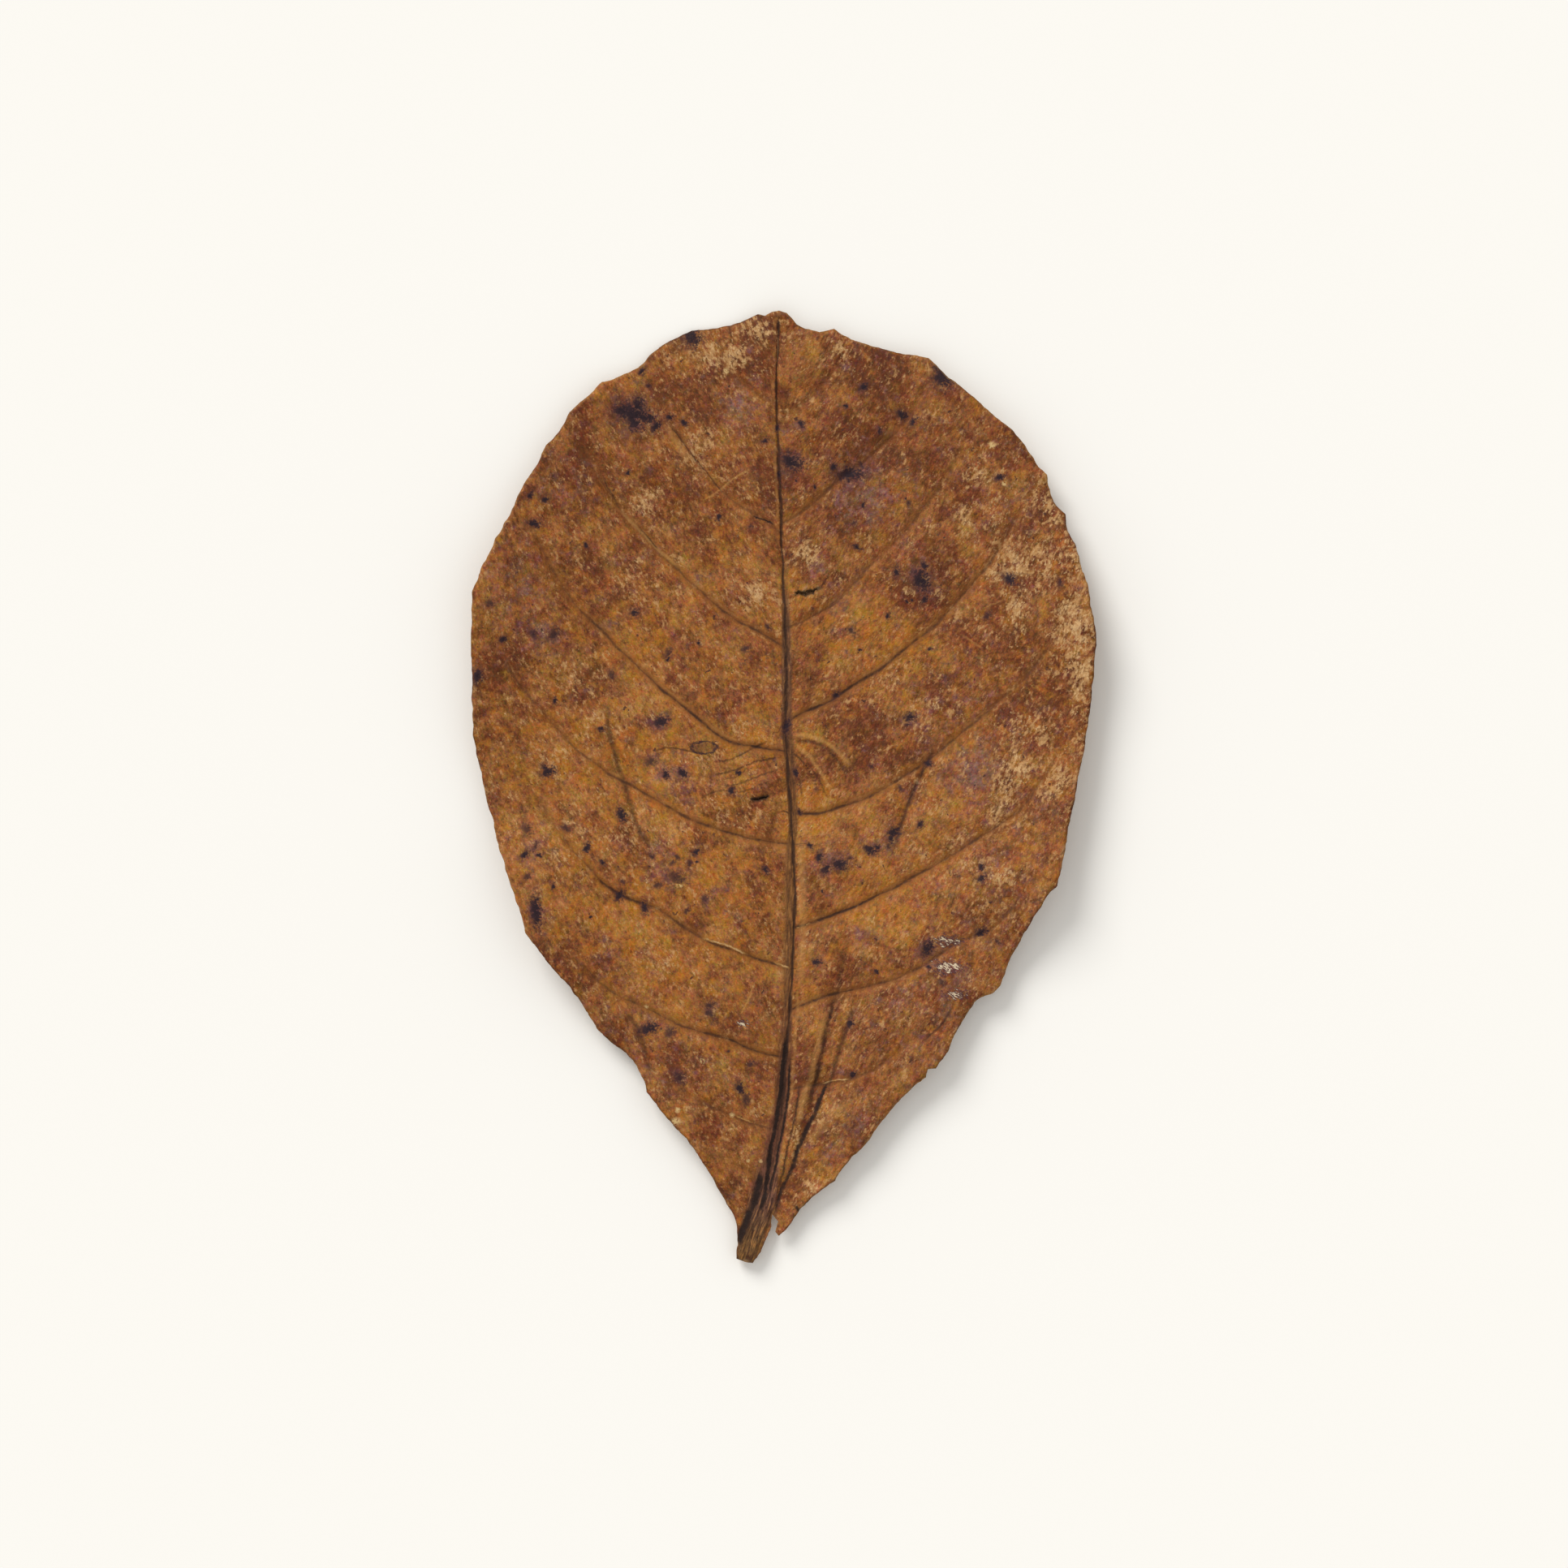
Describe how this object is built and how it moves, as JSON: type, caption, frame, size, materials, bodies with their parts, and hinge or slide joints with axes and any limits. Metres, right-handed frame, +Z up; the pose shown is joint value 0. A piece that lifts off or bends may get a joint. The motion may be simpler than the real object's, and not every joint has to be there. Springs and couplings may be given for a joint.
{
  "type": "dried indian almond leaf",
  "caption": "Dried broad leaf lying upper face up: oval blade with nicked, lifted margins, sunk side veins, pleats near the base and a short cut stalk below.",
  "frame": {"origin": "under the middle of the leaf's outline, on the surface that it lies on", "axes": "+Y from the stalk to the tip, +X to the right seen from above, +Z up out of the upper face"},
  "size_m": [0.1306, 0.1996, 0.0101],
  "materials": {
    "dried_leaf": "matte dry leaf"
  },
  "bodies": {
    "root": {"leaf": "dried_leaf"}
  },
  "joints": []
}
